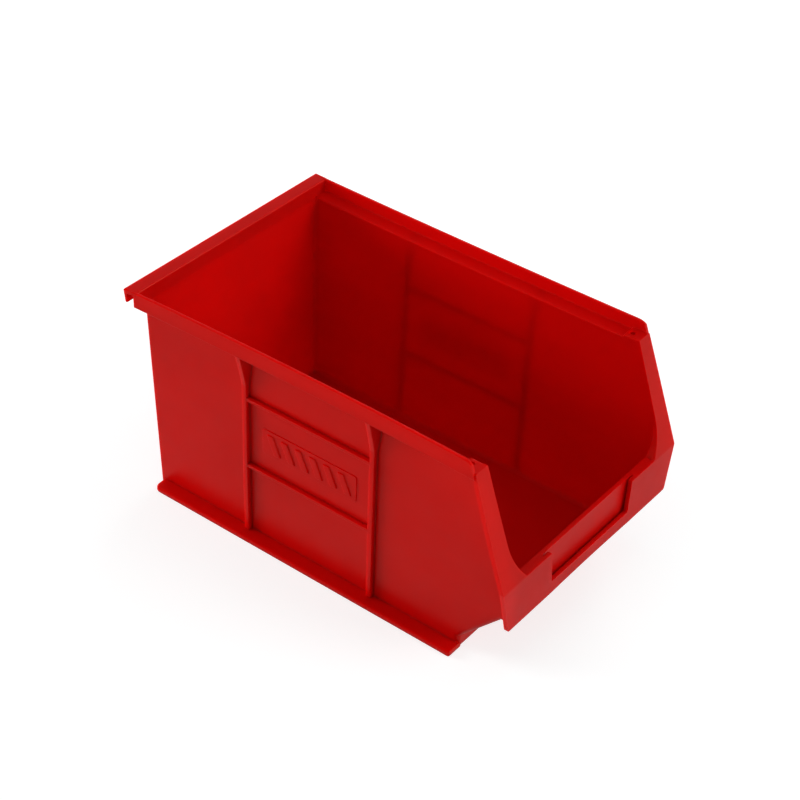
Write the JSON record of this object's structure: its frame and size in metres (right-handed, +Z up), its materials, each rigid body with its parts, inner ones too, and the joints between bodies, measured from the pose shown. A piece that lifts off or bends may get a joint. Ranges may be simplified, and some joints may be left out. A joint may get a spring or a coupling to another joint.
{
  "type": "stackable storage bin",
  "caption": "Red plastic open-front parts bin with a raised front lip, label holder, rear hanging hook, stacking rims and ribbed sides.",
  "frame": {"origin": "centre of the bounding box footprint, on the plane the bin stands on", "axes": "+Z up, -Y towards the open front, +Y towards the hanging hook, X across the bin, which is symmetric about X = 0"},
  "size_m": [0.15, 0.24, 0.125],
  "materials": {
    "red_polypropylene": "satin injection-moulded polypropylene, fine moulded grain"
  },
  "bodies": {
    "root": {"floor_panel": "red_polypropylene", "front_ramp": "red_polypropylene", "front_wall": "red_polypropylene", "back_wall": "red_polypropylene", "left_side_wall": "red_polypropylene", "right_side_wall": "red_polypropylene", "rear_hanging_hook": "red_polypropylene", "left_stacking_rim": "red_polypropylene", "right_stacking_rim": "red_polypropylene", "left_rim_front_stop": "red_polypropylene", "right_rim_front_stop": "red_polypropylene", "left_front_flange": "red_polypropylene", "right_front_flange": "red_polypropylene", "left_label_cover_block": "red_polypropylene", "right_label_cover_block": "red_polypropylene", "label_rail": "red_polypropylene", "left_base_runner": "red_polypropylene", "right_base_runner": "red_polypropylene", "left_rear_vertical_rib": "red_polypropylene", "right_rear_vertical_rib": "red_polypropylene", "left_front_vertical_rib": "red_polypropylene", "right_front_vertical_rib": "red_polypropylene", "left_upper_horizontal_rib": "red_polypropylene", "right_upper_horizontal_rib": "red_polypropylene", "left_lower_horizontal_rib": "red_polypropylene", "right_lower_horizontal_rib": "red_polypropylene", "left_blank_badge": "red_polypropylene", "right_blank_badge": "red_polypropylene"}
  },
  "joints": []
}
